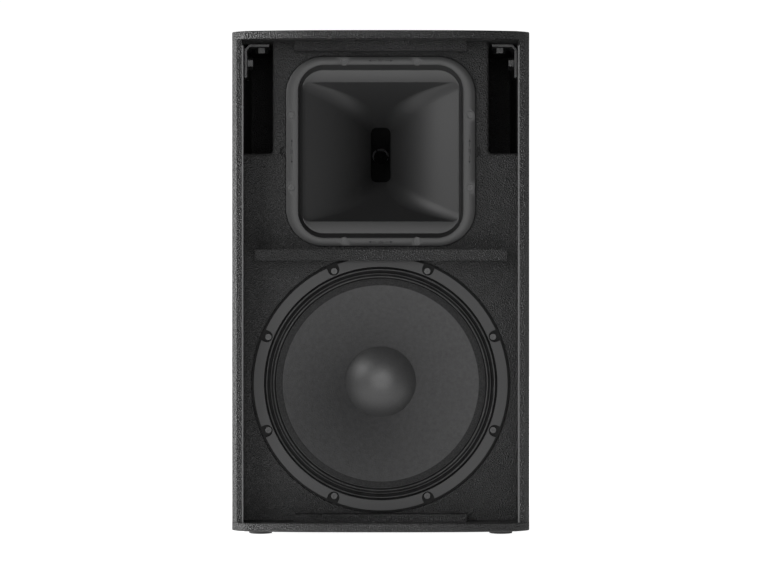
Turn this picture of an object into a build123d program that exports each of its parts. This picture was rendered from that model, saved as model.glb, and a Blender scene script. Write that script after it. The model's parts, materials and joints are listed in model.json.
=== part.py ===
from build123d import *
import math
import os

# PA speaker cabinet: 15-inch two-way passive box with a horn, grille off.
# Millimetres. Origin at the centre of the footprint on the floor, +Z up, front faces -Y.

os.makedirs("parts", exist_ok=True)

# ---- driving dimensions ----
HALF_WIDTH = 225.0
FRONT_Y = -230.0
REAR_Y = 226.0
REAR_HALF_WIDTH = 100.0
SIDE_END_Y = 81.0
SIDE_FRONT_Y = -204.0
FOOT_HEIGHT = 8.0
END_PANEL = 12.0
WALL = 15.0
BODY_TOP = 763.0
INNER_TOP = BODY_TOP - END_PANEL
INNER_BOTTOM = FOOT_HEIGHT + END_PANEL
INNER_HALF = HALF_WIDTH - WALL
REAR_INNER_Y = REAR_Y - WALL

BAFFLE_FRONT = -162.0
BAFFLE_BACK = -144.0
BATTEN_FRONT = -186.0
BATTEN_POCKET_FRONT = -164.5

PORT_INNER_X = 165.3
PORT_SILL_Z = 581.0
PORT_BACK_Y = 20.0
PORT_BOARD = 9.0

HORN_Z = 584.0
HORN_FLANGE = 290.0
HORN_FLANGE_RADIUS = 58.0
HORN_FRONT = -164.5
HORN_SEAT = -158.0
HORN_GASKET = 1.0
HORN_LEDGE_Y = -150.5
HORN_SLOT_Y = -54.5
HORN_REAR = -10.0
HORN_WALL = 4.0
MOUTH_HALF_W = 125.8
MOUTH_HALF_H = 131.75
SLOT_HALF_W = 15.5
SLOT_HALF_H = 43.0
EXIT_RADIUS = 12.7
HORN_SCREW_LONG = 137.0
HORN_SCREW_SHORT = 55.5
PAN_HEAD_RADIUS = 4.7

WOOFER_Z = 229.0
FRAME_RADIUS = 197.0
FRAME_FRONT = -158.2
FRAME_SEAT = -154.0
WOOFER_HOLE = 181.0
BOLT_CIRCLE = 186.0
BOLT_COUNT = 8
CONE_EDGE = 160.0
NECK_RADIUS = 38.5
MOTOR_RADIUS = 95.0
TOP_PLATE_FRONT = -62.0
MAGNET_FRONT = -52.0
YOKE_FRONT = -30.0
YOKE_BACK = -18.0
POLE_RADIUS = 37.2

RIG_Y = -95.0
RIG_X = 185.0
RIG_DROP = 27.0
RIG_SLEEVE = 6.5
M10_CORE = 4.25
BRACKET = 3.4

HANDLE_Y = -45.0
HANDLE_Z = 500.0
PLATE_Z = 175.0
PLATE_FACE = 229.0
SWITCH_X = 0.0
POLE_SOCKET_Y = 10.0
TILT_SOCKET_Y = 58.0
POLE_BORE = 17.75
LEAD = 6.0


# ---- shape helpers ----
def box(x0, x1, y0, y1, z0, z1):
    centre = Pos((x0 + x1) / 2, (y0 + y1) / 2, (z0 + z1) / 2)
    return centre * Box(x1 - x0, y1 - y0, z1 - z0)


def rod_x(y, z, radius, x0, x1):
    return Pos((x0 + x1) / 2, y, z) * Rot(0, 90, 0) * Cylinder(radius, x1 - x0)


def rod_y(x, z, radius, y0, y1):
    return Pos(x, (y0 + y1) / 2, z) * Rot(90, 0, 0) * Cylinder(radius, y1 - y0)


def rod_z(x, y, radius, z0, z1):
    return Pos(x, y, (z0 + z1) / 2) * Cylinder(radius, z1 - z0)


def polygon(points):
    return make_face(Polyline(*points, close=True))


def prism_z(points, z0, z1):
    return extrude(Plane.XY.offset(z0) * polygon(points), z1 - z0, dir=(0, 0, 1))


def prism_y(points, y0, y1):
    """Prism between two depths of a polygon given as (x, z)."""
    return extrude(Plane.XZ.offset(-y1) * polygon(points), y1 - y0, dir=(0, -1, 0))


def prism_x(points, x0, x1):
    """Prism between two widths of a polygon given as (y, z)."""
    return extrude(Plane.YZ.offset(x0) * polygon(points), x1 - x0, dir=(1, 0, 0))


def rounded_y(x, z, width, height, radius, y0, y1):
    face = Plane.XZ.offset(-y1) * (Pos(x, z) * RectangleRounded(width, height, radius))
    return extrude(face, y1 - y0)


def turned(face, centre_z, arc=360):
    """Turn a face of (radius, y) points about the line along Y at the given height."""
    return Pos(0, 0, centre_z) * revolve(face, Axis.Y, arc)


def ring_y(centre_z, r0, r1, y0, y1):
    return turned(polygon([(r0, y0), (r1, y0), (r1, y1), (r0, y1)]), centre_z)


def wave_ring(centre_z, r0, r1, y, amplitude, waves, thickness, land):
    """Thin corrugated ring with a flat land at its inner and outer edge."""
    steps = waves * 8
    front = [(r0 - land, y)]
    for i in range(steps + 1):
        swing = math.sin(2 * math.pi * waves * i / steps)
        front.append((r0 + (r1 - r0) * i / steps, y - amplitude * swing))
    front.append((r1 + land, y))
    back = [(r, depth + thickness) for r, depth in reversed(front)]
    return turned(polygon(front + back), centre_z)


def mirrored(shape):
    return mirror(shape, Plane.YZ)


def save(name, *shapes):
    solids = [solid for shape in shapes for solid in shape.solids()]
    result = solids[0] if len(solids) == 1 else Compound(children=solids)
    export_step(result, f"parts/{name}.step")


def bolt_points():
    for k in range(BOLT_COUNT):
        angle = math.radians(22.5 + 45 * k)
        yield BOLT_CIRCLE * math.cos(angle), WOOFER_Z + BOLT_CIRCLE * math.sin(angle)


def horn_screw_points():
    for a in (-1, 1):
        for b in (-1, 1):
            yield a * HORN_SCREW_SHORT, HORN_Z + b * HORN_SCREW_LONG
            yield a * HORN_SCREW_LONG, HORN_Z + b * HORN_SCREW_SHORT


# ---- cabinet panels ----
def front_curve_y(x):
    """Depth of the bowed front edge of the top and bottom panels at half width x."""
    return FRONT_Y + 15.0 * (abs(x) / 205.0) ** 3


def plan_outline():
    middle = 110.0
    quarter = 160.0
    end = 205.0
    centre_arc = ThreePointArc(
        (-middle, front_curve_y(middle)), (0, FRONT_Y), (middle, front_curve_y(middle)))
    right_arc = ThreePointArc(
        (middle, front_curve_y(middle)), (quarter, front_curve_y(quarter)), (end, front_curve_y(end)))
    left_arc = ThreePointArc(
        (-end, front_curve_y(end)), (-quarter, front_curve_y(quarter)), (-middle, front_curve_y(middle)))
    corner = [(end, front_curve_y(end)), (218, -206), (HALF_WIDTH, -199),
              (HALF_WIDTH, SIDE_END_Y), (REAR_HALF_WIDTH, REAR_Y)]
    back = Polyline(*corner, *[(-x, y) for x, y in reversed(corner)])
    return make_face([centre_arc, right_arc, back, left_arc])


def grille_groove(z0, z1):
    """Groove that holds the grille edge, just behind the front lip of an end panel."""
    outline = plan_outline()
    near, far = [extrude(Pos(0, shift, z0) * outline, z1 - z0, dir=(0, 0, 1)) for shift in (6, 18)]
    band = near - far
    return band & box(-200, 200, FRONT_Y, -190, z0, z1)


def rigging_points():
    return [(-RIG_X, RIG_Y), (RIG_X, RIG_Y), (0.0, 180.0)]


def top_panel():
    panel = extrude(Pos(0, 0, INNER_TOP) * plan_outline(), END_PANEL, dir=(0, 0, 1))
    panel = fillet(panel.faces().sort_by(Axis.Z)[-1].edges(), 2.5)
    panel -= grille_groove(INNER_TOP, INNER_TOP + 3)
    for x, y in rigging_points():
        panel -= rod_z(x, y, RIG_SLEEVE, INNER_TOP, BODY_TOP)
    return panel


def foot_points():
    return [(-184.0, -154.0), (184.0, -154.0), (-125.0, 150.0), (125.0, 150.0)]


def bottom_panel():
    panel = extrude(Pos(0, 0, FOOT_HEIGHT) * plan_outline(), END_PANEL, dir=(0, 0, 1))
    panel = fillet(panel.faces().sort_by(Axis.Z)[0].edges(), 2.5)
    panel -= grille_groove(INNER_BOTTOM - 3, INNER_BOTTOM)
    for x, y in rigging_points():
        panel -= rod_z(x, y, RIG_SLEEVE, FOOT_HEIGHT, INNER_BOTTOM)
    for x, y in foot_points():
        panel -= rod_z(x, y, 2.0, FOOT_HEIGHT, INNER_BOTTOM - 2)
    panel -= pole_socket_body()
    for x, y in pole_screw_points():
        panel -= rod_z(x, y, 2.0, FOOT_HEIGHT, INNER_BOTTOM - 2)
    return panel


def mitre_points():
    """Inner corners where the side, rear corner and rear panels meet."""
    run_x = REAR_HALF_WIDTH - HALF_WIDTH
    run_y = REAR_Y - SIDE_END_Y
    length = math.hypot(run_x, run_y)
    along = (run_x / length, run_y / length)
    start = (HALF_WIDTH - along[1] * WALL, SIDE_END_Y + along[0] * WALL)
    to_side = (INNER_HALF - start[0]) / along[0]
    to_rear = (REAR_INNER_Y - start[1]) / along[1]
    side = (INNER_HALF, start[1] + along[1] * to_side)
    rear = (start[0] + along[0] * to_rear, REAR_INNER_Y)
    return side, rear


def side_panel():
    inner, _ = mitre_points()
    outline = [(HALF_WIDTH, SIDE_END_Y), inner, (INNER_HALF, SIDE_FRONT_Y),
               (HALF_WIDTH - 7, SIDE_FRONT_Y), (HALF_WIDTH, SIDE_FRONT_Y + 7)]
    panel = prism_z(outline, INNER_BOTTOM, INNER_TOP)
    panel -= handle_solid(grow=True)
    for z in (INNER_TOP - RIG_DROP, INNER_BOTTOM + RIG_DROP):
        panel -= rod_x(RIG_Y, z, RIG_SLEEVE, INNER_HALF, HALF_WIDTH)
    for y, z in handle_screw_points():
        panel -= rod_x(y, z, 2.0, INNER_HALF + 2, HALF_WIDTH)
    return panel


def rear_corner_panel():
    side, rear = mitre_points()
    outline = [(HALF_WIDTH, SIDE_END_Y), (REAR_HALF_WIDTH, REAR_Y), rear, side]
    return prism_z(outline, INNER_BOTTOM, INNER_TOP)


def rear_panel():
    _, rear = mitre_points()
    outline = [(-REAR_HALF_WIDTH, REAR_Y), (REAR_HALF_WIDTH, REAR_Y), rear, (-rear[0], rear[1])]
    panel = prism_z(outline, INNER_BOTTOM, INNER_TOP)
    panel -= rounded_y(0, PLATE_Z, 144, 84, 6, REAR_INNER_Y, REAR_Y)
    for x, z in plate_screw_points():
        panel -= rod_y(x, z, 1.8, REAR_INNER_Y + 2, REAR_Y)
    for x, z in board_screw_points():
        panel -= rod_y(x, z, 1.6, REAR_INNER_Y, REAR_Y - 4)
    return panel


def front_baffle():
    baffle = box(-INNER_HALF, INNER_HALF, BAFFLE_FRONT, BAFFLE_BACK, INNER_BOTTOM, INNER_TOP)
    for side in (-1, 1):
        port = rounded_y(side * (PORT_INNER_X + 40), PORT_SILL_Z + 120, 80, 240, 5,
                         BAFFLE_FRONT, BAFFLE_BACK)
        baffle -= port
    lips = [edge for edge in baffle.faces().sort_by(Axis.Y)[0].edges()
            if abs(edge.center().X) > PORT_INNER_X - 1 and edge.center().Z > PORT_SILL_Z - 1
            and abs(edge.center().X) < INNER_HALF - 1]
    baffle = fillet(lips, 5.0)
    baffle -= rounded_y(0, HORN_Z, HORN_FLANGE + 2, HORN_FLANGE + 2, HORN_FLANGE_RADIUS + 1,
                        BAFFLE_FRONT, HORN_SEAT)
    baffle -= rounded_y(0, HORN_Z, 262, 268, 42, HORN_SEAT, BAFFLE_BACK)
    for side in (-1, 1):
        baffle -= rod_y(side * 146, HORN_Z, 8.5, BAFFLE_FRONT, HORN_SEAT)
    for x, z in horn_screw_points():
        baffle -= rod_y(x, z, 2.0, HORN_SEAT, BAFFLE_BACK - 2)
    baffle -= rod_y(0, WOOFER_Z, FRAME_RADIUS + 1.5, BAFFLE_FRONT, FRAME_SEAT)
    baffle -= rod_y(0, WOOFER_Z, WOOFER_HOLE, FRAME_SEAT, BAFFLE_BACK)
    for x, z in bolt_points():
        baffle -= rod_y(x, z, 2.5, FRAME_SEAT, BAFFLE_BACK)
    return baffle


def port_duct():
    wall = box(PORT_INNER_X - PORT_BOARD, PORT_INNER_X, BAFFLE_BACK, PORT_BACK_Y,
               PORT_SILL_Z - PORT_BOARD, INNER_TOP)
    shelf = box(PORT_INNER_X, INNER_HALF, BAFFLE_BACK, PORT_BACK_Y,
                PORT_SILL_Z - PORT_BOARD, PORT_SILL_Z)
    return wall + shelf


def cabinet_brace():
    brace = box(-INNER_HALF, INNER_HALF, BAFFLE_BACK, 75, 428, 440)
    for side in (-1, 1):
        window = box(-75, 75, -68, 68, 428, 440)
        window = fillet(window.edges().filter_by(Axis.Z), 14)
        brace -= Pos(side * 103, 3.5, 0) * window
    return brace


def grille_battens():
    upper = box(-131, 131, BATTEN_FRONT, BAFFLE_FRONT, 736, INNER_TOP)
    middle = box(-191.7, 191.7, BATTEN_FRONT, BAFFLE_FRONT, 417, 433.5)
    middle -= rod_y(0, WOOFER_Z, FRAME_RADIUS + 2, BATTEN_POCKET_FRONT, BAFFLE_FRONT)
    lower = box(-131, 131, BATTEN_FRONT, BAFFLE_FRONT, INNER_BOTTOM, 31)
    return [upper, middle, lower]


def grille_strip():
    return box(INNER_HALF - 2.2, INNER_HALF, SIDE_FRONT_Y, SIDE_FRONT_Y + 12, INNER_BOTTOM, 742)


# ---- rigging ----
def upper_rigging_bracket():
    top = INNER_TOP
    wall = INNER_HALF
    outline = [(172, top), (wall - 7, top), (wall, top - 7), (wall, top - 51),
               (wall - BRACKET, top - 51), (wall - BRACKET, top - 8.4),
               (wall - 8.4, top - BRACKET), (172, top - BRACKET)]
    bracket = prism_y(outline, -125, -65)
    bracket -= rod_z(RIG_X, RIG_Y, RIG_SLEEVE, top - BRACKET, top)
    return bracket - rod_x(RIG_Y, top - RIG_DROP, RIG_SLEEVE, wall - BRACKET, wall)


def lower_rigging_bracket():
    return mirror(upper_rigging_bracket(), Plane.XY.offset((INNER_TOP + INNER_BOTTOM) / 2))


def rigging_nut(length):
    """Hex-headed sleeve nut: its head at z < 0, the tapped sleeve reaching up to z = length."""
    head = extrude(RegularPolygon(8.5, 6, major_radius=False), -8)
    sleeve = Pos(0, 0, length / 2) * Cylinder(RIG_SLEEVE, length)
    tapped = Pos(0, 0, length / 2) * Cylinder(M10_CORE, length)
    return head + sleeve - tapped


def top_nuts():
    sleeve = END_PANEL + BRACKET
    nuts = [Pos(x, RIG_Y, INNER_TOP - BRACKET) * rigging_nut(sleeve) for x in (-RIG_X, RIG_X)]
    nuts.append(Pos(0, 180, INNER_TOP) * rigging_nut(END_PANEL))
    return nuts


def bottom_nuts():
    middle = Plane.XY.offset((BODY_TOP + FOOT_HEIGHT) / 2)
    return [mirror(nut, middle) for nut in top_nuts()]


def side_nuts():
    nuts = []
    for z in (INNER_TOP - RIG_DROP, INNER_BOTTOM + RIG_DROP):
        nut = Pos(INNER_HALF - BRACKET, RIG_Y, z) * Rot(0, 90, 0) * rigging_nut(WALL + BRACKET)
        nuts += [nut, mirrored(nut)]
    return nuts


# ---- feet and pole socket ----
def rubber_feet():
    feet = []
    for x, y in foot_points():
        foot = Pos(x, y, 0) * extrude(Circle(17.5), FOOT_HEIGHT, taper=-8)
        foot -= rod_z(x, y, 5.6, 0, 3)
        foot -= rod_z(x, y, 2.0, 3, FOOT_HEIGHT)
        feet.append(foot)
    return feet


def pole_socket_body():
    body = box(-28, 28, -18, 90, FOOT_HEIGHT, 100)
    return fillet(body.edges().filter_by(Axis.Z), 10)


def pole_screw_points():
    return [(x, y) for x in (-38, 38) for y in (-28, 100)]


def pole_socket():
    flange = box(-48, 48, -38, 110, 5, FOOT_HEIGHT)
    flange = fillet(flange.edges().filter_by(Axis.Z), 12)
    socket = flange + pole_socket_body()
    socket -= rod_z(0, POLE_SOCKET_Y, POLE_BORE, 5, 90)
    tilted = Pos(0, TILT_SOCKET_Y, 0) * Rot(7, 0, 0) * Cylinder(POLE_BORE, 180)
    socket -= tilted & box(-40, 40, 0, 120, 0, 90)
    for x, y in pole_screw_points():
        socket -= rod_z(x, y, 2.0, 5, FOOT_HEIGHT)
    return socket


def base_screws():
    """Screws of the four feet and of the pole socket."""
    screws = []
    for x, y in foot_points():
        screws.append(rod_z(x, y, 5.0, 0.8, 3) + rod_z(x, y, 2.0, 3, INNER_BOTTOM - 2))
    for x, y in pole_screw_points():
        screws.append(rod_z(x, y, 4.5, 2.8, 5) + rod_z(x, y, 2.0, 5, INNER_BOTTOM - 2))
    return screws


# ---- recessed side handles ----
def rounded_x(y, z, depth, height, radius, x0, x1):
    face = Plane.YZ.offset(x0) * (Pos(y, z) * RectangleRounded(depth, height, radius))
    return extrude(face, x1 - x0)


def handle_solid(grow=False):
    """Outer form of the right handle; grown, it is the cut-out in the side panel."""
    gap = 0.3 if grow else 0.0
    flange = rounded_x(HANDLE_Y, HANDLE_Z, 200 + gap, 110 + gap, 18, HALF_WIDTH - 3, HALF_WIDTH)
    cup = rounded_x(HANDLE_Y, HANDLE_Z, 170 + gap, 86 + gap, 20, 168, HALF_WIDTH - 3)
    return flange + cup


def handle_screw_points():
    return [(HANDLE_Y + dy, HANDLE_Z + dz) for dy in (-92, 92) for dz in (-32, 32)]


def handle():
    body = handle_solid()
    body -= rounded_x(HANDLE_Y, HANDLE_Z, 164, 80, 17, 171, HALF_WIDTH)
    body += grip_bar()
    for y, z in handle_screw_points():
        body -= rod_x(y, z, 2.0, HALF_WIDTH - 3, HALF_WIDTH)
    return body


def grip_bar():
    """Finger bar across the cup, running front to back."""
    return rounded_y(211, HANDLE_Z + 14, 17, 17, 7, HANDLE_Y - 83.5, HANDLE_Y + 83.5)


def handle_screws():
    screws = []
    for y, z in handle_screw_points():
        screw = rod_x(y, z, 2.0, INNER_HALF + 2, HALF_WIDTH - 2)
        screws += [screw, mirrored(screw)]
    return screws


# ---- horn ----
def horn_plan(wall):
    """Half-widths of the horn passage along its depth: straight walls that curl into the flange."""
    start_y = -128.0
    start_w = SLOT_HALF_W + (HORN_SLOT_Y - start_y) * 1.0
    flare = ThreePointArc((start_w + wall, start_y), (106.5 + wall, -149.0),
                          (MOUTH_HALF_W + wall, HORN_FRONT))
    right = flare + Line((SLOT_HALF_W + wall, HORN_SLOT_Y), (start_w + wall, start_y))
    left = mirror(right, Plane.YZ)
    front = Line((-MOUTH_HALF_W - wall, HORN_FRONT), (MOUTH_HALF_W + wall, HORN_FRONT))
    back = Polyline((SLOT_HALF_W + wall, HORN_SLOT_Y), (SLOT_HALF_W + wall, -20),
                    (-SLOT_HALF_W - wall, -20), (-SLOT_HALF_W - wall, HORN_SLOT_Y))
    return make_face([*right.edges(), *left.edges(), *front.edges(), *back.edges()])


def horn_profile(wall):
    """Half-heights of the passage along its depth, with the flat front-facing ledges."""
    upper = [(HORN_FRONT, MOUTH_HALF_H + min(wall, 2)), (HORN_LEDGE_Y, 124 + wall),
             (HORN_LEDGE_Y, 106 + wall), (HORN_SLOT_Y, SLOT_HALF_H + wall), (-20, EXIT_RADIUS + wall)]
    if wall:
        upper[2] = (HORN_LEDGE_Y + wall, 124 + wall)
        upper.insert(3, (HORN_LEDGE_Y + wall, 106 + wall))
    points = upper + [(y, -h) for y, h in reversed(upper)]
    return [(y, HORN_Z + h) for y, h in points]


def horn_form(wall):
    plan = extrude(Pos(0, 0, HORN_Z - 150) * horn_plan(wall), 300, dir=(0, 0, 1))
    return plan & prism_x(horn_profile(wall), -150, 150)


def horn():
    flange_back = HORN_SEAT - HORN_GASKET
    flange = rounded_y(0, HORN_Z, HORN_FLANGE, HORN_FLANGE, HORN_FLANGE_RADIUS,
                       HORN_FRONT, flange_back)
    bell = rounded_y(0, HORN_Z, 2 * MOUTH_HALF_W + 0.3, 2 * MOUTH_HALF_H + 0.3, 40,
                     HORN_FRONT - 1, 0)
    passage = horn_form(0) & bell
    casing = rounded_y(0, HORN_Z, 2 * MOUTH_HALF_W + 6.3, 2 * MOUTH_HALF_H + 4.3, 43,
                       HORN_FRONT - 1, 0)
    shell = horn_form(HORN_WALL) & casing
    throat = rod_y(0, HORN_Z, 50, -22, HORN_REAR) + rod_y(0, HORN_Z, 24, -40, -22)
    body = flange + shell + throat
    body -= passage
    body -= rod_y(0, HORN_Z, EXIT_RADIUS, -24, HORN_REAR)
    for x, z in horn_screw_points():
        body -= rod_y(x, z, 6.0, HORN_FRONT, HORN_FRONT + 3)
        body -= rod_y(x, z, 2.0, HORN_FRONT, flange_back)
    for x in (-38, 38):
        body -= rod_y(x, HORN_Z, 3.0, -22, HORN_REAR)
    return body


def horn_gasket():
    gasket = rounded_y(0, HORN_Z, 288, 288, 57, HORN_SEAT - HORN_GASKET, HORN_SEAT)
    gasket -= rounded_y(0, HORN_Z, 262, 268, 42, HORN_SEAT - HORN_GASKET, HORN_SEAT)
    for x, z in horn_screw_points():
        gasket -= rod_y(x, z, 2.0, HORN_SEAT - HORN_GASKET, HORN_SEAT)
    return gasket


def horn_screws():
    screws = []
    for x, z in horn_screw_points():
        head = rod_y(x, z, PAN_HEAD_RADIUS, HORN_FRONT + 0.3, HORN_FRONT + 3)
        head -= Pos(x, HORN_FRONT + 0.3, z) * Rot(-90, 0, 0) * extrude(RegularPolygon(1.9, 6), 1.6)
        shank = rod_y(x, z, 2.0, HORN_FRONT + 3, BAFFLE_BACK - 2)
        screws.append(head + shank)
    return screws


# ---- high-frequency driver, bolted behind the horn ----
def hf_pole_piece():
    plate = ring_y(HORN_Z, EXIT_RADIUS, 67, HORN_REAR, 0)
    pole = turned(polygon([(14.2, -1), (24, -1), (24, 26), (19, 26), (19, 20)]), HORN_Z)
    bore_step = turned(polygon([(EXIT_RADIUS, HORN_REAR), (14.3, HORN_REAR), (14.3, -1),
                                (14.2, -1)]), HORN_Z)
    piece = plate + pole + bore_step
    piece -= turned(polygon([(0, HORN_REAR), (EXIT_RADIUS, HORN_REAR), (19, 20), (0, 20)]), HORN_Z)
    for x in (-38, 38):
        piece -= rod_y(x, HORN_Z, 3.0, HORN_REAR, -2)
    return piece


def hf_magnet():
    return ring_y(HORN_Z, 32, 64, 0, 18)


def hf_top_plate():
    return ring_y(HORN_Z, 26.4, 66, 18, 26)


def hf_phase_plug():
    plug = turned(polygon([(0, 8), (11, 26), (10, 30.5), (0, 33)]), HORN_Z)
    rim = ring_y(HORN_Z, 17, 19, 20, 26)
    for k in range(3):
        web = Pos(0, 0, HORN_Z) * Rot(0, 120 * k, 0) * box(8, 18, 21, 25.5, -0.8, 0.8)
        plug += web
    return plug + rim


def hf_diaphragm():
    """Thin dome whose rim sits on the voice coil."""
    rise = [(25.7, 27.6), (22.5, 31.0), (18.0, 34.2), (12.0, 36.7), (6.0, 38.0), (0.0, 38.4)]
    inside = [(r * 0.965, y - 0.7) for r, y in reversed(rise[1:])]
    return turned(polygon(rise + inside + [(24.8, 27.6)]), HORN_Z)


def hf_voice_coil():
    return ring_y(HORN_Z, 24.8, 25.7, 19, 27.6)


def hf_surround():
    """Half-roll suspension between the dome edge and the rear face of the top plate."""
    roll = turned(polygon([(25.7, 26.9), (27.2, 28.6), (28.8, 29.2), (30.4, 28.6), (31.6, 26.0),
                           (36, 26.0), (36, 26.7), (31.9, 26.7), (30.7, 29.2), (28.8, 29.9),
                           (26.8, 29.2), (25.7, 27.6)]), HORN_Z)
    return roll


def hf_rear_cover():
    cup = rod_y(0, HORN_Z, 64, 26, 52) - rod_y(0, HORN_Z, 54, 26, 47)
    return fillet(cup.edges().filter_by(GeomType.CIRCLE).group_by(Axis.Y)[-1], 6)


def hf_driver_bolts():
    bolts = []
    for x in (-38, 38):
        bolts.append(rod_y(x, HORN_Z, 5.0, -27, -22) + rod_y(x, HORN_Z, 3.0, -22, -2))
    return bolts


# ---- woofer ----
def woofer_basket():
    wall = polygon([(178.5, FRAME_FRONT), (FRAME_RADIUS, FRAME_FRONT), (FRAME_RADIUS, FRAME_SEAT),
                    (180.4, FRAME_SEAT), (180.4, -146), (104, -69.6), (104, TOP_PLATE_FRONT),
                    (60, TOP_PLATE_FRONT), (60, -66), (98, -66), (98, -69), (82.3, -69), (82.3, -73),
                    (101.6, -73), (178.5, -150)])
    basket = turned(wall, WOOFER_Z)
    band = polygon([(116, -60), (170, -60), (170, -160), (116, -160)])
    sector = revolve(band, Axis.Y, 36) & box(-200, 200, -153, -60, -200, 200)
    for k in range(6):
        basket -= Pos(0, 0, WOOFER_Z) * Rot(0, 60 * k + 12, 0) * sector
    for x, z in bolt_points():
        basket -= rod_y(x, z, 2.5, FRAME_FRONT, FRAME_SEAT)
    return basket - woofer_terminal()


def woofer_terminal():
    return box(-14, 14, -72, TOP_PLATE_FRONT, WOOFER_Z + 101, WOOFER_Z + 116)


def woofer_gasket_ring():
    ring = ring_y(WOOFER_Z, 178.6, 194, -163.2, FRAME_FRONT)
    ring -= ring_y(WOOFER_Z, 178, 181, -159.2, FRAME_FRONT)
    for k in range(BOLT_COUNT):
        notch = rod_y(188.5, 0, 9, -164, -158) + box(188.5, 200, -164, -158, -9, 9)
        ring -= Pos(0, 0, WOOFER_Z) * Rot(0, 22.5 + 45 * k, 0) * notch
    return ring


def woofer_bolts():
    bolts = []
    for x, z in bolt_points():
        head = rod_y(x, z, PAN_HEAD_RADIUS, -161.4, FRAME_FRONT)
        head -= Pos(x, -161.4, z) * Rot(-90, 0, 0) * extrude(RegularPolygon(1.9, 6), 1.6)
        bolts.append(head + rod_y(x, z, 2.5, FRAME_FRONT, BAFFLE_BACK + 6))
    return bolts


def woofer_surround():
    """Corrugated cloth roll: three waves between the cone edge and the frame."""
    waves = wave_ring(WOOFER_Z, CONE_EDGE, 178, -159.2, 2.3, 3, 1.0, 2.2)
    return waves + ring_y(WOOFER_Z, 151, CONE_EDGE, -159.2, FRAME_FRONT)


def cone_curve(shift):
    return ThreePointArc((NECK_RADIUS, -80 + shift), (96, -126 + shift), (150, FRAME_FRONT + shift))


def woofer_cone():
    front = cone_curve(0)
    back = cone_curve(1.8)
    rim = Polyline((150, FRAME_FRONT), (CONE_EDGE, FRAME_FRONT), (CONE_EDGE, FRAME_FRONT + 1.8),
                   (150, FRAME_FRONT + 1.8))
    neck = Line((NECK_RADIUS, -80), (NECK_RADIUS, -78.2))
    return turned(make_face([*front.edges(), *rim.edges(), *back.edges(), *neck.edges()]), WOOFER_Z)


def dust_cap():
    outer = ThreePointArc((0, -114), (30, -109.6), (57.5, -92))
    inner = ThreePointArc((0, -112.8), (30, -108.4), (55.5, -92))
    edges = [*outer.edges(), *inner.edges(), *Line((0, -114), (0, -112.8)).edges(),
             *Line((57.5, -92), (55.5, -92)).edges()]
    cap = turned(make_face(edges), WOOFER_Z)
    behind = [*cone_curve(0).edges(), *Line((150, FRAME_FRONT), (150, -70)).edges(),
              *Line((150, -70), (NECK_RADIUS, -70)).edges(),
              *Line((NECK_RADIUS, -70), (NECK_RADIUS, -80)).edges()]
    return cap - turned(make_face(behind), WOOFER_Z)


def voice_coil_former():
    return ring_y(WOOFER_Z, 38.1, NECK_RADIUS, -84, -42)


def voice_coil_winding():
    return ring_y(WOOFER_Z, NECK_RADIUS, 39.5, -66, -48)


def woofer_spider():
    return wave_ring(WOOFER_Z, 42, 82, -74, 1.5, 6, 1.0, 3.5)


def woofer_top_plate():
    return ring_y(WOOFER_Z, 40.6, MOTOR_RADIUS, TOP_PLATE_FRONT, MAGNET_FRONT)


def woofer_magnet():
    return ring_y(WOOFER_Z, 52, MOTOR_RADIUS - 2, MAGNET_FRONT, YOKE_FRONT)


def woofer_yoke():
    plate = ring_y(WOOFER_Z, 12, MOTOR_RADIUS, YOKE_FRONT, YOKE_BACK)
    return plate + ring_y(WOOFER_Z, 12, POLE_RADIUS, TOP_PLATE_FRONT, YOKE_FRONT)


# ---- input plate and crossover ----
def plate_screw_points():
    return [(x, PLATE_Z + z) for x in (-78, 0, 78) for z in (-47, 47)]


def input_plate():
    plate = rounded_y(0, PLATE_Z, 170, 108, 8, REAR_Y, PLATE_FACE)
    for x in (-38, 38):
        plate -= rod_y(x, PLATE_Z, 12.6, REAR_Y, PLATE_FACE)
    plate -= box(SWITCH_X - 7.5, SWITCH_X + 7.5, REAR_Y, PLATE_FACE, PLATE_Z - 3.5, PLATE_Z + 3.5)
    for x, z in plate_screw_points():
        plate -= rod_y(x, z, 1.8, REAR_Y, PLATE_FACE)
    return plate


def input_plate_screws():
    screws = []
    for x, z in plate_screw_points():
        head = rod_y(x, z, 3.4, PLATE_FACE, PLATE_FACE + 1)
        screws.append(head + rod_y(x, z, 1.8, REAR_INNER_Y + 2, PLATE_FACE))
    return screws


def input_socket(x):
    """Round four-pole locking loudspeaker socket: flange, barrel, keyed well and centre post."""
    flange = rounded_y(x, PLATE_Z, 31, 31, 4, PLATE_FACE, PLATE_FACE + 1)
    socket = flange + rod_y(x, PLATE_Z, 12.6, 200, PLATE_FACE)
    socket -= rod_y(x, PLATE_Z, 11, 205, PLATE_FACE + 1) - rod_y(x, PLATE_Z, 7, 205, PLATE_FACE - 1)
    socket -= box(x - 2, x + 2, 212, PLATE_FACE + 1, PLATE_Z + 10, PLATE_Z + 12)
    return socket


def mode_switch_body():
    body = box(SWITCH_X - 14, SWITCH_X + 14, 212, REAR_Y, PLATE_Z - 7, PLATE_Z + 7)
    return body - box(SWITCH_X - 7.5, SWITCH_X + 7.5, 218, REAR_Y, PLATE_Z - 3.5, PLATE_Z + 3.5)


def mode_switch_slider():
    slider = box(SWITCH_X - 7.1, SWITCH_X - 0.1, 218.4, 229.8, PLATE_Z - 3.1, PLATE_Z + 3.1)
    for k in (-1, 0, 1):
        slider -= box(SWITCH_X - 3.9 + 2 * k, SWITCH_X - 3.3 + 2 * k, 229.2, 229.8,
                      PLATE_Z - 3.1, PLATE_Z + 3.1)
    return slider


def board_screw_points():
    return [(x, z) for x in (-68, 68) for z in (307, 413)]


def crossover_board():
    board = box(-75, 75, 201, 202.6, 300, 420)
    for x, z in board_screw_points():
        board -= rod_y(x, z, 1.6, 201, 202.6)
    return board


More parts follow.
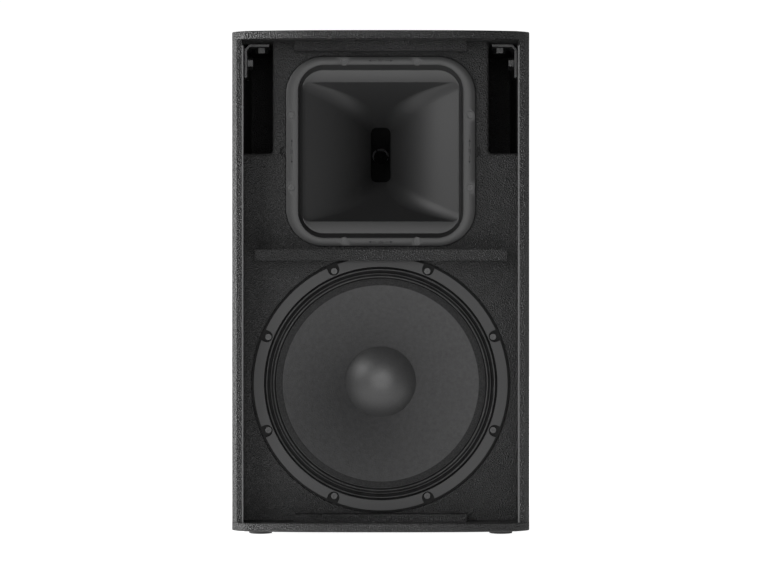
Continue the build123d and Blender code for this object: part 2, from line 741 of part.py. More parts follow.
def crossover_standoffs():
    """Screwed spacers: head in front of the board, collar behind it, thread in the rear panel."""
    posts = []
    for x, z in board_screw_points():
        collar = rod_y(x, z, 4, 202.6, REAR_INNER_Y)
        posts.append(collar + rod_y(x, z, 3, 199, 201) + rod_y(x, z, 1.6, 201, REAR_Y - 4))
    return posts


def crossover_inductors():
    coils = []
    for x, z, outer in ((-44, 386, 21), (50, 352, 19), (-48, 322, 14)):
        coils.append(rod_y(x, z, outer, 181, 201) - rod_y(x, z, outer * 0.45, 181, 201))
    return coils


def crossover_capacitors():
    cans = []
    for x, z in ((2, 396), (2, 370), (-18, 314)):
        can = box(x - 16, x + 16, 183, 201, z - 10, z + 10)
        cans.append(fillet(can.edges().filter_by(Axis.Y), 3))
    return cans


def crossover_resistors():
    return [box(42, 64, 191, 201, z - 5, z + 5) for z in (384, 398, 412)] + \
           [box(0, 44, 191, 201, 319, 329)]


# ---- internal leads ----
def lead(points):
    """Round lead along straight runs joined by arcs as large as the runs allow."""
    corners = [Vector(*p) for p in points]
    radii = []
    for before, corner, after in zip(corners, corners[1:], corners[2:]):
        turn = math.radians((corner - before).get_angle(after - corner))
        shorter = min((corner - before).length, (after - corner).length)
        radii.append(0.45 * shorter / math.tan(turn / 2))
    print("lead radii", [round(r, 1) for r in radii])
    path = FilletPolyline(*points, radius=radii)
    section = Plane(origin=path @ 0, z_dir=path % 0) * Circle(LEAD / 2)
    tube = sweep(section, path)
    print("lead volume ratio", round(tube.volume / (path.length * math.pi * LEAD ** 2 / 4), 4))
    return tube


def input_lead():
    return lead([(38, 200, 175), (38, 152, 178), (34, 148, 248), (26, 152, 303), (24, 201, 309)])


def woofer_lead():
    return lead([(-30, 201, 350), (-30, 140, 350), (-20, 66, 346), (-6, -4, 341),
                 (0, TOP_PLATE_FRONT, 338)])


def hf_lead():
    return lead([(30, 201, 408), (29, 146, 412), (26, 116, 470), (24, 110, 532), (22, 52, 552)])


# ---- write every node ----
def both_sides(make):
    shape = make()
    return [shape, mirrored(shape)]


def main():
    save("top_panel", top_panel())
    save("bottom_panel", bottom_panel())
    for make in (side_panel, rear_corner_panel, port_duct, handle):
        right, left = both_sides(make)
        save("right_" + make.__name__, right)
        save("left_" + make.__name__, left)
    for make in (grille_strip, upper_rigging_bracket, lower_rigging_bracket):
        save(make.__name__ + "s", *both_sides(make))
    single_nodes = [
        rear_panel, front_baffle, cabinet_brace, pole_socket, horn, horn_gasket, hf_pole_piece,
        hf_magnet, hf_top_plate, hf_phase_plug, hf_diaphragm, hf_voice_coil, hf_surround,
        hf_rear_cover, woofer_basket, woofer_terminal, woofer_gasket_ring, woofer_surround,
        woofer_cone, dust_cap, voice_coil_former, voice_coil_winding, woofer_spider,
        woofer_top_plate, woofer_magnet, woofer_yoke, input_plate, mode_switch_body,
        mode_switch_slider, crossover_board, input_lead, woofer_lead, hf_lead,
    ]
    for make in single_nodes:
        save(make.__name__, make())
    group_nodes = [
        grille_battens, rubber_feet, base_screws, handle_screws, horn_screws, hf_driver_bolts,
        woofer_bolts, input_plate_screws, crossover_standoffs,
        crossover_inductors, crossover_capacitors, crossover_resistors,
    ]
    for make in group_nodes:
        save(make.__name__, *make())
    save("rigging_nuts", *top_nuts(), *bottom_nuts(), *side_nuts())
    save("input_sockets", input_socket(-38), input_socket(38))


main()
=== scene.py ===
import json
import math
import bpy
import bmesh
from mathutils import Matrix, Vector
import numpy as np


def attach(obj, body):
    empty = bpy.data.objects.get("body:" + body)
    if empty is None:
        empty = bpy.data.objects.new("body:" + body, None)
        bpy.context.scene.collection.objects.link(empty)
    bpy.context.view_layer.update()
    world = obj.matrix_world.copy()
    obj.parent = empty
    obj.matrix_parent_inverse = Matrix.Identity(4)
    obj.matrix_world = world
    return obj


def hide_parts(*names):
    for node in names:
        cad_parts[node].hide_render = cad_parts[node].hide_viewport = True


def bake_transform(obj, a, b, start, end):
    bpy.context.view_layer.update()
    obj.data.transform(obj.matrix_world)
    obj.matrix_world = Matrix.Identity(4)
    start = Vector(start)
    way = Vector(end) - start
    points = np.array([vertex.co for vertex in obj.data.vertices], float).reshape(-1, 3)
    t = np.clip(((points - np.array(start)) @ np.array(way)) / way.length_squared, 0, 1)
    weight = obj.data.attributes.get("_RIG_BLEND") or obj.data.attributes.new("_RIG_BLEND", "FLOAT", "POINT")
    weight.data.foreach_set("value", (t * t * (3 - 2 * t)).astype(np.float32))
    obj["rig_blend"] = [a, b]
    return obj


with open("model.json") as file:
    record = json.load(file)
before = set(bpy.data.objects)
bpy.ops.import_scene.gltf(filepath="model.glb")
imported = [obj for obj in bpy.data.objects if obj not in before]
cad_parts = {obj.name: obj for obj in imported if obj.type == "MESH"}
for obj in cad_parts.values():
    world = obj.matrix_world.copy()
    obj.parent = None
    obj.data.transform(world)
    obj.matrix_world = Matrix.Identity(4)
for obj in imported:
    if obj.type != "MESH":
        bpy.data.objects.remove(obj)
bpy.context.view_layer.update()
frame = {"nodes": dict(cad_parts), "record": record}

# Metres, in the same frame as the CAD: front faces -Y, +Z up.
HORN_Z = 0.584
WOOFER_Z = 0.229
MID_Z = 0.3855
HORN_FRONT = -0.1645
CAMERA_Y = -3.904
RENDER_W = 762

# Horn side walls: share of the width that grows evenly with depth, and power of the flaring rest.
FLARE_START = 0.42
FLARE_POWER = 3.4

# Counterbores in the horn flange, placed from the horn's centre.
SCREW_NEAR = 0.0555
SCREW_FAR = 0.137
COUNTERBORE_RADIUS = 0.0062
COUNTERBORE_FLOOR = -0.1615

# Woofer suspension: the dull rim ends at EDGE_RADIUS; the sheen is full on the wave crests and fades to none
# in the valleys by depth, a painted shade for the valleys.
EDGE_RADIUS = 0.1595
CREST_Y = -0.1608
VALLEY_Y = -0.1595
CREST_SHEEN_OVER_VALLEY_SHADE = 0.7

# Lights, in watts, and the strengths of the white sweep.
KEY_POWER = 17
SIDE_POWER = 300
FRONT_POWER = 105
FRONT_AMBIENT = 0.1
BACK_AMBIENT = 1.05
FLOOR_GLOW = 1.0

# ---- camera: straight on at the body's mid height, square to the front ----
camera_data = bpy.data.cameras.new("camera")
camera = bpy.data.objects.new("camera", camera_data)
bpy.context.scene.collection.objects.link(camera)
bpy.context.scene.camera = camera
camera.location = (0.0, CAMERA_Y, MID_Z)
camera.rotation_euler = (math.radians(90), 0, 0)
camera_data.lens = 115.6
camera_data.sensor_width = 36
camera_data.shift_x = 0.3 / RENDER_W
camera_data.shift_y = 0.2 / RENDER_W
camera_data.clip_end = 50


# ---- materials ----
def new_material(name, base, rough, metallic=0.0, specular=0.5, coat=0.0):
    """Principled material whose uniform numbers sit on the shader's own sockets."""
    mat = bpy.data.materials.new(name)
    mat.use_nodes = True
    shader = mat.node_tree.nodes["Principled BSDF"]
    shader.inputs["Base Color"].default_value = (*base, 1)
    shader.inputs["Roughness"].default_value = rough
    shader.inputs["Metallic"].default_value = metallic
    shader.inputs["Specular IOR Level"].default_value = specular
    shader.inputs["Coat Weight"].default_value = coat
    return mat


def link(mat, out, socket):
    mat.node_tree.links.new(out, socket)


def noise(mat, scale, detail=4.0, rough=0.55, stretch=None):
    nodes = mat.node_tree.nodes
    coords = nodes.new("ShaderNodeTexCoord")
    tex = nodes.new("ShaderNodeTexNoise")
    tex.inputs["Scale"].default_value = scale
    tex.inputs["Detail"].default_value = detail
    tex.inputs["Roughness"].default_value = rough
    source = coords.outputs["Object"]
    if stretch:
        mapping = nodes.new("ShaderNodeMapping")
        mapping.inputs["Scale"].default_value = stretch
        link(mat, source, mapping.inputs["Vector"])
        source = mapping.outputs["Vector"]
    link(mat, source, tex.inputs["Vector"])
    return tex.outputs["Fac"]


def voronoi(mat, scale):
    nodes = mat.node_tree.nodes
    coords = nodes.new("ShaderNodeTexCoord")
    tex = nodes.new("ShaderNodeTexVoronoi")
    tex.inputs["Scale"].default_value = scale
    link(mat, coords.outputs["Object"], tex.inputs["Vector"])
    return tex.outputs["Distance"]


def ramp(mat, source, dark, light, low=0.3, high=0.7):
    node = mat.node_tree.nodes.new("ShaderNodeValToRGB")
    node.color_ramp.elements[0].position = low
    node.color_ramp.elements[1].position = high
    node.color_ramp.elements[0].color = (*dark, 1)
    node.color_ramp.elements[1].color = (*light, 1)
    link(mat, source, node.inputs["Fac"])
    return node.outputs["Color"]


def span(mat, source, low, high):
    node = mat.node_tree.nodes.new("ShaderNodeMapRange")
    node.inputs["To Min"].default_value = low
    node.inputs["To Max"].default_value = high
    link(mat, source, node.inputs["Value"])
    return node.outputs["Result"]


def bump(mat, source, strength, distance, after=None):
    node = mat.node_tree.nodes.new("ShaderNodeBump")
    node.inputs["Strength"].default_value = strength
    node.inputs["Distance"].default_value = distance
    link(mat, source, node.inputs["Height"])
    if after:
        link(mat, after, node.inputs["Normal"])
    return node.outputs["Normal"]


def shader_of(mat):
    return mat.node_tree.nodes["Principled BSDF"]


def grey(value):
    return (value, value, value * 1.015)


def surface(name, dark, light, rough, rough_spread, scale, strength, distance,
            metallic=0.0, specular=0.5, coat=0.0, fine=None, stretch=None):
    """Two-tone grained surface: colour, roughness and bump all vary with one grain."""
    mat = new_material(name, light, rough, metallic, specular, coat)
    shader = shader_of(mat)
    grain = noise(mat, scale, stretch=stretch)
    link(mat, ramp(mat, grain, dark, light), shader.inputs["Base Color"])
    link(mat, span(mat, grain, rough - rough_spread, rough + rough_spread),
         shader.inputs["Roughness"])
    normal = bump(mat, grain, strength, distance)
    if fine:
        normal = bump(mat, noise(mat, fine, 2.0), strength * 0.6, distance * 0.4, normal)
    link(mat, normal, shader.inputs["Normal"])
    return mat


def coating_material(name, level):
    """Sprayed polyurea: pebbles about 2 mm across with finer grit between them."""
    mat = new_material(name, grey(level), 0.5, specular=min(0.42, level * 20))
    shader = shader_of(mat)
    pebbles = voronoi(mat, 480)
    grit = noise(mat, 900, 3.0, 0.6)
    broad = noise(mat, 14, 3.0)
    link(mat, ramp(mat, broad, grey(level * 0.86), grey(level * 1.12)), shader.inputs["Base Color"])
    link(mat, span(mat, grit, 0.42, 0.62), shader.inputs["Roughness"])
    lumps = bump(mat, pebbles, 0.9, 0.0024)
    link(mat, bump(mat, grit, 0.7, 0.0012, lumps), shader.inputs["Normal"])
    return mat


MATERIALS = {
    "cabinet_coating": coating_material("cabinet_coating", 0.018),
    "bare_plywood": surface("bare_plywood", (0.42, 0.29, 0.16), (0.62, 0.47, 0.3), 0.65, 0.08,
                            9, 0.25, 0.0006, stretch=(1, 14, 14)),
    "black_steel": surface("black_steel", grey(0.05), grey(0.064), 0.42, 0.06, 260, 0.12, 0.0002,
                           metallic=0.25),
    "black_fastener": surface("black_fastener", grey(0.012), grey(0.02), 0.42, 0.08, 320, 0.1,
                              0.0001, metallic=0.1),
    "horn_plastic": surface("horn_plastic", grey(0.016), grey(0.019), 0.46, 0.03, 700, 0.05,
                            0.0001, specular=0.5, fine=1800),
    "foam": surface("foam", grey(0.012), grey(0.02), 0.9, 0.05, 900, 0.5, 0.0004),
    "cast_frame": surface("cast_frame", grey(0.004), grey(0.006), 0.6, 0.06, 420, 0.2, 0.0003,
                          specular=0.15),
    "ferrite": surface("ferrite", grey(0.03), grey(0.05), 0.6, 0.08, 160, 0.2, 0.0002),
    "zinc_steel": surface("zinc_steel", (0.42, 0.43, 0.45), (0.58, 0.59, 0.6), 0.32, 0.08, 120,
                          0.05, 0.0001, metallic=1.0),
    "gasket_rubber": surface("gasket_rubber", grey(0.026), grey(0.032), 0.55, 0.04, 600, 0.12,
                             0.0002, specular=0.4),
    "coil_former": surface("coil_former", (0.3, 0.17, 0.04), (0.42, 0.26, 0.08), 0.35, 0.05, 90,
                           0.05, 0.0001),
    "coil_wire": surface("coil_wire", (0.5, 0.2, 0.07), (0.68, 0.33, 0.14), 0.3, 0.06, 60, 0.4,
                         0.0003, metallic=0.9, stretch=(1, 40, 1)),
    "titanium": surface("titanium", (0.45, 0.46, 0.48), (0.6, 0.6, 0.62), 0.3, 0.05, 200, 0.05,
                        0.0001, metallic=1.0),
    "foot_rubber": surface("foot_rubber", grey(0.014), grey(0.022), 0.72, 0.05, 500, 0.2, 0.0003),
    "black_plastic": surface("black_plastic", grey(0.028), grey(0.036), 0.5, 0.05, 800, 0.16,
                             0.0002),
    "circuit_board": surface("circuit_board", (0.012, 0.09, 0.035), (0.02, 0.14, 0.055), 0.4, 0.05,
                             70, 0.05, 0.0001),
    "capacitor": surface("capacitor", (0.3, 0.03, 0.02), (0.42, 0.06, 0.03), 0.28, 0.04, 50, 0.05,
                         0.0002),
    "resistor": surface("resistor", (0.66, 0.63, 0.55), (0.8, 0.78, 0.7), 0.75, 0.05, 300, 0.2,
                        0.0002),
    "lead_jacket": surface("lead_jacket", grey(0.02), grey(0.03), 0.55, 0.05, 200, 0.1, 0.0002),
    "label_white": surface("label_white", grey(0.5), grey(0.62), 0.4, 0.04, 200, 0.05, 0.0001),
    "spider_cloth": surface("spider_cloth", (0.3, 0.2, 0.07), (0.48, 0.34, 0.14), 0.8, 0.06, 1500,
                            0.5, 0.0004),
}


def cone_paper():
    """Pressed pulp: short random fibres over a faint mottling, with a rough matt face."""
    mat = new_material("cone_paper", grey(0.04), 0.6, specular=0.4)
    shader = shader_of(mat)
    fibres = noise(mat, 420, 6.0, 0.72)
    mottle = noise(mat, 150, 4.0, 0.65)
    link(mat, ramp(mat, mottle, grey(0.032), grey(0.046), 0.3, 0.72), shader.inputs["Base Color"])
    link(mat, span(mat, fibres, 0.48, 0.72), shader.inputs["Roughness"])
    soft = bump(mat, mottle, 0.3, 0.0006)
    link(mat, bump(mat, fibres, 0.8, 0.0009, soft), shader.inputs["Normal"])
    return mat


def doped_cloth():
    """Woven cloth filled with tacky dope: a fine weave under a soft sheen that fades out by depth into
    painted shade in the valleys.
    """
    mat = new_material("doped_cloth", grey(0.016), 0.45, specular=0.5)
    shader = shader_of(mat)
    weave = noise(mat, 1500, 2.0, 0.6)
    broad = noise(mat, 45, 3.0)
    link(mat, ramp(mat, broad, grey(0.013), grey(0.02)), shader.inputs["Base Color"])
    link(mat, span(mat, weave, 0.36, 0.56), shader.inputs["Roughness"])
    link(mat, bump(mat, weave, 0.4, 0.0003), shader.inputs["Normal"])
    # Painted shade: the sheen is full at the wave crests and drops to none in the valleys, by depth alone,
    # so the valleys look shaded.
    split = mat.node_tree.nodes.new("ShaderNodeSeparateXYZ")
    place = mat.node_tree.nodes.new("ShaderNodeTexCoord")
    link(mat, place.outputs["Object"], split.inputs["Vector"])
    sheen = span(mat, split.outputs["Y"], CREST_SHEEN_OVER_VALLEY_SHADE, 0.0)
    sheen.node.inputs["From Min"].default_value = CREST_Y
    sheen.node.inputs["From Max"].default_value = VALLEY_Y
    link(mat, sheen, shader.inputs["Specular IOR Level"])
    return mat


def edge_cloth():
    """Bonded rim where the suspension lies on the cone: dull, coarse and dark."""
    mat = new_material("edge_cloth", grey(0.014), 0.8, specular=0.2)
    shader = shader_of(mat)
    fuzz = noise(mat, 520, 4.0, 0.75)
    link(mat, ramp(mat, fuzz, grey(0.008), grey(0.034)), shader.inputs["Base Color"])
    link(mat, span(mat, fuzz, 0.68, 0.9), shader.inputs["Roughness"])
    link(mat, bump(mat, fuzz, 0.9, 0.0012), shader.inputs["Normal"])
    return mat


def cap_paper():
    """Smooth pressed dome with a soft sheen."""
    mat = new_material("cap_paper", grey(0.035), 0.42, specular=0.6)
    shader = shader_of(mat)
    fibres = noise(mat, 420, 6.0, 0.72)
    link(mat, ramp(mat, fibres, grey(0.026), grey(0.04)), shader.inputs["Base Color"])
    link(mat, span(mat, fibres, 0.36, 0.5), shader.inputs["Roughness"])
    link(mat, bump(mat, fibres, 0.5, 0.0004), shader.inputs["Normal"])
    return mat


MATERIALS["cone_paper"] = cone_paper()
MATERIALS["edge_cloth"] = edge_cloth()
MATERIALS["cap_paper"] = cap_paper()
MATERIALS["doped_cloth"] = doped_cloth()
MATERIALS["baffle_coating"] = coating_material("baffle_coating", 0.021)
# Painted shade: the port ducts get a near-black copy of the coating, far darker than the real coating, for
# the shade inside the ports.
MATERIALS["port_coating_painted_shade"] = coating_material("port_coating_painted_shade", 0.0006)
# Painted shade: near black, far darker than the real plastic and steel, for the shade deep in the horn's
# throat; it goes on the throat rings, the phase plug, the top plate and the pole piece.
MATERIALS["throat_painted_shade"] = surface("throat_painted_shade", grey(0.001), grey(0.002), 0.8, 0.05, 500, 0.05,
                                   0.0001, specular=0.1)
MATERIALS["horn_mark"] = surface("horn_mark", grey(0.004), grey(0.006), 0.6, 0.03, 600, 0.05,
                                 0.0001, specular=0.2)


# Nodes whose look differs from the other nodes of their slot; the port ducts and the throat parts get
# near-black painted shade.
LOOKS = {"left_port_duct": "port_coating_painted_shade", "right_port_duct": "port_coating_painted_shade",
         "front_baffle": "baffle_coating", "hf_phase_plug": "throat_painted_shade",
         "hf_top_plate": "throat_painted_shade", "hf_pole_piece": "throat_painted_shade", "dust_cap": "cap_paper"}


def dress_cad_nodes():
    """Give every CAD node the procedural material of its record slot."""
    slots = {entry["node"]: entry["material_slot"] for entry in frame["record"]["subparts"]}
    for name, node in frame["nodes"].items():
        chosen = MATERIALS[LOOKS.get(name, slots[name])]
        obj = node if isinstance(node, bpy.types.Object) else bpy.data.objects[name]
        for holder in obj.material_slots:
            holder.material = chosen


dress_cad_nodes()


# ---- mesh helpers ----
def add_object(name, mesh, material, body):
    obj = bpy.data.objects.new(name, mesh)
    bpy.context.scene.collection.objects.link(obj)
    mesh.materials.append(material)
    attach(obj, body)
    return obj


def mesh_from(name, verts, faces, smooth=True):
    mesh = bpy.data.meshes.new(name)
    mesh.from_pydata([tuple(v) for v in verts], [], faces)
    mesh.validate()
    tidy = bmesh.new()
    tidy.from_mesh(mesh)
    bmesh.ops.remove_doubles(tidy, verts=tidy.verts, dist=1e-6)
    bmesh.ops.recalc_face_normals(tidy, faces=tidy.faces)
    tidy.to_mesh(mesh)
    tidy.free()
    mesh.polygons.foreach_set("use_smooth", [smooth] * len(mesh.polygons))
    return mesh


def lathe(name, profile, centre_z, steps=192):
    """Closed ring or disc: (radius, y) profile turned about the line along Y."""
    verts, faces = [], []
    count = len(profile)
    for k in range(steps):
        angle = 2 * math.pi * k / steps
        for r, y in profile:
            verts.append((r * math.cos(angle), y, centre_z + r * math.sin(angle)))
    for k in range(steps):
        here, there = k * count, (k + 1) % steps * count
        for i in range(count):
            j = (i + 1) % count
            faces.append((here + i, here + j, there + j, there + i))
    return mesh_from(name, verts, faces)


# ---- woofer surround and cone edge ----
def eased(knots, per_span=6):
    """Smooth profile through (radius, y) knots, level at every knot."""
    points = []
    for (r0, y0), (r1, y1) in zip(knots, knots[1:]):
        for i in range(per_span):
            t = i / per_span
            points.append((r0 + (r1 - r0) * t, y0 + (y1 - y0) * (1 - math.cos(math.pi * t)) / 2))
    points.append(knots[-1])
    return points


def blend_by_radius(mesh, centre_z, inner, outer):
    """Follow the moving body wholly inside `inner` and the cabinet wholly outside `outer`."""
    weights = []
    for vertex in mesh.vertices:
        radius = math.hypot(vertex.co.x, vertex.co.z - centre_z)
        weights.append(min(max((radius - inner) / (outer - inner), 0), 1))
    mesh.attributes["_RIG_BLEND"].data.foreach_set("value", weights)


def woofer_suspension():
    """Triple-wave doped cloth ring; it stretches between the frame and the moving cone."""
    knots = [(150.2, -158.3), (151.0, -159.1), (158.8, -159.1), (160.3, -157.3), (163.5, -161.6),
             (166.0, -158.9), (168.0, -160.3), (171.0, -157.2), (174.5, -161.8), (177.2, -157.6),
             (179.0, -158.9), (180.2, -159.0)]
    front = [(r / 1000, y / 1000) for r, y in eased(knots)]
    back = [(r, y + 0.0009) for r, y in reversed(front)]
    mesh = lathe("woofer_suspension", front + back, WOOFER_Z, 240)
    obj = bpy.data.objects.new("woofer_suspension", mesh)
    bpy.context.scene.collection.objects.link(obj)
    mesh.materials.append(MATERIALS["doped_cloth"])
    mesh.materials.append(MATERIALS["edge_cloth"])
    for face in mesh.polygons:
        if math.hypot(face.center.x, face.center.z - WOOFER_Z) < EDGE_RADIUS:
            face.material_index = 1
    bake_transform(obj, "cone_assembly", "cabinet", (0, -0.1585, WOOFER_Z), (0, -0.1585, WOOFER_Z + 0.18))
    blend_by_radius(mesh, WOOFER_Z, 0.160, 0.1775)
    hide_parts("woofer_surround")


woofer_suspension()


def stretched_ring(replaced, material, profile, centre_z, inner, outer, moving):
    """Ring that follows the moving body at its inner edge and stays on the cabinet at its outer edge."""
    name = replaced + "_flexing"
    mesh = lathe(name, [(r / 1000, y / 1000) for r, y in profile], centre_z, 160)
    obj = bpy.data.objects.new(name, mesh)
    bpy.context.scene.collection.objects.link(obj)
    mesh.materials.append(MATERIALS[material])
    middle = profile[0][1] / 1000
    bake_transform(obj, moving, "cabinet", (0, middle, centre_z), (0, middle, centre_z + outer / 1000))
    blend_by_radius(mesh, centre_z, inner / 1000, outer / 1000)
    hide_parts(replaced)


def woofer_spider():
    """Corrugated cloth disc that centres the voice coil."""
    front = [(38.5, -74.0)]
    for i in range(73):
        front.append((42 + 40 * i / 72, -74 - 1.5 * math.sin(2 * math.pi * 6 * i / 72)))
    front.append((85.5, -74.0))
    back = [(r, y + 1.0) for r, y in reversed(front)]
    stretched_ring("woofer_spider", "spider_cloth", front + back, WOOFER_Z, 42, 82, "cone_assembly")


def hf_suspension():
    """Half-roll that carries the dome of the high-frequency driver."""
    profile = [(25.7, 26.9), (27.2, 28.6), (28.8, 29.2), (30.4, 28.6), (31.6, 26.0), (36, 26.0),
               (36, 26.7), (31.9, 26.7), (30.7, 29.2), (28.8, 29.9), (26.8, 29.2), (25.7, 27.6)]
    stretched_ring("hf_surround", "doped_cloth", profile, HORN_Z, 26.8, 31.0, "hf_diaphragm_assembly")


woofer_spider()
hf_suspension()


# ---- horn: one smooth moulded shell ----
def rounded_ring(half_w, half_h, radius, y, per_corner=24, per_side=12):
    """Points round a rounded rectangle, the same count at every station."""
    radius = min(radius, half_w, half_h)
    points = []
    corners = ((1, 1, 0), (-1, 1, 90), (-1, -1, 180), (1, -1, 270))
    for k, (sx, sz, start) in enumerate(corners):
        cx, cz = sx * (half_w - radius), sz * (half_h - radius)
        arc = []
        for i in range(per_corner + 1):
            angle = math.radians(start + 90 * i / per_corner)
            arc.append((cx + radius * math.cos(angle), cz + radius * math.sin(angle)))
        points += arc
        nsx, nsz, nstart = corners[(k + 1) % 4]
        angle = math.radians(nstart)
        after = (nsx * (half_w - radius) + radius * math.cos(angle),
                 nsz * (half_h - radius) + radius * math.sin(angle))
        for i in range(1, per_side):
            t = i / per_side
            points.append((arc[-1][0] + (after[0] - arc[-1][0]) * t,
                           arc[-1][1] + (after[1] - arc[-1][1]) * t))
    return [(x, y, HORN_Z + z) for x, z in points]


def horn_stations():
    """Half width, half height, corner radius and depth of each ring, from the flange rim inwards."""
    mm = [(145.0, 145.0, 58.0, -159.0), (145.0, 145.0, 58.0, -163.4), (144.7, 144.7, 57.7, -164.1),
          (144.0, 144.0, 57.0, -164.5), (127.4, 133.3, 41.5, -164.5), (126.3, 132.2, 40.5, -164.2),
          (125.8, 131.6, 40.0, -163.4), (124.2, 128.6, 38.0, -158.0), (122.6, 125.6, 35.0, -151.2),
          (122.2, 125.0, 34.5, -150.6), (122.0, 124.2, 34.0, -150.5), (121.8, 107.4, 13.5, -150.5),
          (121.5, 106.7, 13.0, -150.2)]
    for i in range(1, 37):
        t = i / 36
        depth = -150.2 + (95.7 * t)
        half_w = 15.5 + 106.0 * (FLARE_START * (1 - t) + (1 - FLARE_START) * (1 - t) ** FLARE_POWER)
        half_h = 106.7 + (43.0 - 106.7) * t
        radius = 13.0 + 14.0 * math.sin(math.pi * t) * (1 - 0.35 * t) - 4.0 * t
        mm.append((half_w, half_h, radius, depth))
    mm += [(15.5, 43.0, 9.0, -54.2), (15.2, 42.0, 9.0, -51.0), (14.6, 34.0, 11.0, -42.0),
           (13.6, 22.0, 13.0, -28.0), (12.7, 12.7, 12.7, -16.0), (12.7, 12.7, 12.7, -10.0),
           (50.0, 50.0, 50.0, -10.0), (50.0, 50.0, 50.0, -22.0), (20.0, 26.0, 19.0, -22.0),
           (20.0, 48.0, 14.0, -54.0), (96.0, 90.0, 30.0, -124.0), (112.0, 101.0, 30.0, -138.0),
           (117.0, 128.0, 34.0, -146.4), (124.0, 130.0, 38.0, -154.0), (127.0, 131.5, 41.0, -159.0)]
    return [(w / 1000, h / 1000, r / 1000, y / 1000) for w, h, r, y in mm]


# Rings of horn_stations() from the slot to the driver's mouth; their faces get the near-black painted shade.
THROAT_RINGS = range(49, 55)


def horn_shell():
    """Smooth horn with its ledges, flare and slot, in place of the CAD horn."""
    stations = horn_stations()
    verts, faces = [], []
    for half_w, half_h, radius, y in stations:
        verts += rounded_ring(half_w, half_h, radius, y)
    count = len(verts) // len(stations)
    throat_faces = []
    for k in range(len(stations)):
        here, there = k * count, (k + 1) % len(stations) * count
        for i in range(count):
            j = (i + 1) % count
            if k in THROAT_RINGS:
                throat_faces.append(len(faces))
            faces.append((here + i, here + j, there + j, there + i))
    mesh = bpy.data.meshes.new("horn_shell")
    mesh.from_pydata(verts, [], faces)
    mesh.materials.append(MATERIALS["horn_plastic"])
    mesh.materials.append(MATERIALS["throat_painted_shade"])
    for index in throat_faces:
        mesh.polygons[index].material_index = 1
    tidy = bmesh.new()
    tidy.from_mesh(mesh)
    bmesh.ops.recalc_face_normals(tidy, faces=tidy.faces)
    tidy.to_mesh(mesh)
    tidy.free()
    obj = bpy.data.objects.new("horn_shell", mesh)
    bpy.context.scene.collection.objects.link(obj)
    cut_counterbores(obj)
    obj.data.shade_smooth()
    obj.data.set_sharp_from_angle(angle=math.radians(32))
    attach(obj, "cabinet")
    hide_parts("horn")


def cut_counterbores(obj):
    """Eight round pockets for the screw heads, cut into the flange."""
    verts, faces = [], []
    steps = 40
    for a, b in ((1, 1), (1, -1), (-1, 1), (-1, -1)):
        for x, z in ((a * SCREW_NEAR, b * SCREW_FAR), (a * SCREW_FAR, b * SCREW_NEAR)):
            base = len(verts)
            for y in (HORN_FRONT - 0.0055, COUNTERBORE_FLOOR):
                for i in range(steps):
                    angle = 2 * math.pi * i / steps
                    verts.append((x + COUNTERBORE_RADIUS * math.cos(angle), y,
                                  HORN_Z + z + COUNTERBORE_RADIUS * math.sin(angle)))
            for i in range(steps):
                j = (i + 1) % steps
                faces.append((base + i, base + j, base + steps + j, base + steps + i))
            faces.append(tuple(base + i for i in reversed(range(steps))))
            faces.append(tuple(base + steps + i for i in range(steps)))
    cutter = bpy.data.objects.new("counterbore_cutter", mesh_from("counterbore_cutter", verts, faces))
    bpy.context.scene.collection.objects.link(cutter)
    cut = obj.modifiers.new("counterbores", "BOOLEAN")
    cut.operation = "DIFFERENCE"
    cut.object = cutter
    bpy.context.view_layer.update()
    graph = bpy.context.evaluated_depsgraph_get()
    result = bpy.data.meshes.new_from_object(obj.evaluated_get(graph))
    obj.modifiers.clear()
    obj.data = result
    bpy.data.objects.remove(cutter)


horn_shell()


# ---- horn markings: generic coverage angles with arrows ----
def marking(name, text, x, z, turn):
    """Small raised text with an arrow line to each side, on the face of the horn flange."""
    curve = bpy.data.curves.new(name, "FONT")
    curve.body = text
    curve.size = 0.0058
    curve.align_x = "CENTER"
    curve.align_y = "CENTER"
    curve.extrude = 0.00012
    holder = bpy.data.objects.new(name + "_text", curve)
    bpy.context.scene.collection.objects.link(holder)
    bpy.context.view_layer.update()
    mesh = bpy.data.meshes.new_from_object(holder)
    bpy.data.objects.remove(holder)
    shape = bmesh.new()
    shape.from_mesh(mesh)
    for side in (-1, 1):
        tip = [(side * 0.0185, 0), (side * 0.0145, 0.0018), (side * 0.0145, -0.0018)]
        bar = [(side * 0.0138, 0.0003), (side * 0.0075, 0.0003), (side * 0.0075, -0.0003),
               (side * 0.0138, -0.0003)]
        for outline in (tip, bar):
            shape.faces.new([shape.verts.new((px, py, 0.00012)) for px, py in outline])
    shape.to_mesh(mesh)
    shape.free()
    obj = add_object(name, mesh, MATERIALS["horn_mark"], "cabinet")
    obj.location = (x, HORN_FRONT - 0.00005, z)
    obj.rotation_euler = (math.radians(90), math.radians(turn), 0)


marking("horn_mark_top", "90\u00b0", 0, HORN_Z + 0.1385, 0)
marking("horn_mark_bottom", "90\u00b0", 0, HORN_Z - 0.1385, 180)
marking("horn_mark_left", "50\u00b0", -0.1358, HORN_Z, -90)
marking("horn_mark_right", "50\u00b0", 0.1358, HORN_Z, 90)


# ---- lights and floor ----
def area_light(name, location, target, size, power, height=None):
    data = bpy.data.lights.new(name, "AREA")
    data.energy = power
    data.size = size
    if height:
        data.shape = "RECTANGLE"
        data.size_y = height
    obj = bpy.data.objects.new(name, data)
    bpy.context.scene.collection.objects.link(obj)
    obj.location = location
    aim = Vector(target) - Vector(location)
    obj.rotation_euler = aim.to_track_quat("-Z", "Y").to_euler()


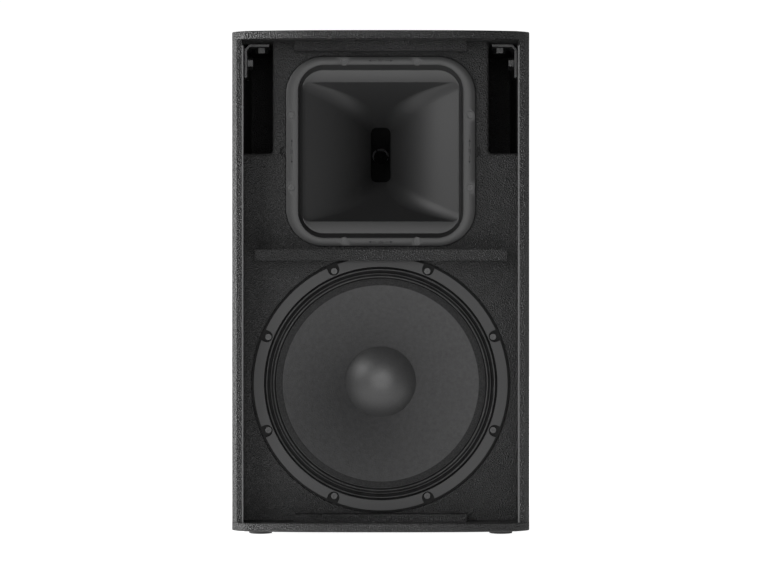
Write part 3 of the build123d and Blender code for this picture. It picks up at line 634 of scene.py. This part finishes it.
def studio_world():
    """White sweep behind the cabinet, fading to grey on the side that the light stands on."""
    world = bpy.data.worlds.new("studio")
    bpy.context.scene.world = world
    world.use_nodes = True
    nodes, links = world.node_tree.nodes, world.node_tree.links
    coords = nodes.new("ShaderNodeTexCoord")
    split = nodes.new("ShaderNodeSeparateXYZ")
    fade = nodes.new("ShaderNodeMapRange")
    fade.inputs["From Min"].default_value = 0.1
    fade.inputs["From Max"].default_value = 0.7
    fade.inputs["To Min"].default_value = FRONT_AMBIENT
    fade.inputs["To Max"].default_value = BACK_AMBIENT
    nodes["Background"].inputs["Color"].default_value = (1, 1, 1, 1)
    links.new(coords.outputs["Generated"], split.inputs["Vector"])
    links.new(split.outputs["Y"], fade.inputs["Value"])
    links.new(fade.outputs["Result"], nodes["Background"].inputs["Strength"])


def studio():
    studio_world()
    area_light("key", (-1.5, -1.6, 1.2), (0, 0, 0.40), 0.8, KEY_POWER)
    area_light("side", (-3.2, -0.1, 0.9), (0, 0, 0.40), 1.0, SIDE_POWER, 1.8)
    area_light("front", (0.1, -5.2, 0.62), (0, 0, 0.40), 1.8, FRONT_POWER)
    floor = mesh_from("studio_floor", [(-6, -6, 0), (6, -6, 0), (6, 6, 0), (-6, 6, 0)],
                      [(0, 1, 2, 3)], smooth=False)
    stage = bpy.data.objects.new("studio_floor", floor)
    bpy.context.scene.collection.objects.link(stage)
    pale = surface("studio_pale", (0.28, 0.28, 0.28), (0.32, 0.32, 0.32), 0.9, 0.02, 3, 0.02, 0.001)
    shader_of(pale).inputs["Emission Color"].default_value = (1, 1, 1, 1)
    nodes = pale.node_tree.nodes
    coords = nodes.new("ShaderNodeTexCoord")
    split = nodes.new("ShaderNodeSeparateXYZ")
    glow = nodes.new("ShaderNodeMapRange")
    glow.inputs["From Min"].default_value = -1.1
    glow.inputs["From Max"].default_value = -0.7
    glow.inputs["To Max"].default_value = FLOOR_GLOW
    link(pale, coords.outputs["Object"], split.inputs["Vector"])
    link(pale, split.outputs["Y"], glow.inputs["Value"])
    link(pale, glow.outputs["Result"], shader_of(pale).inputs["Emission Strength"])
    floor.materials.append(pale)


studio()
bpy.context.scene.view_settings.view_transform = "Standard"
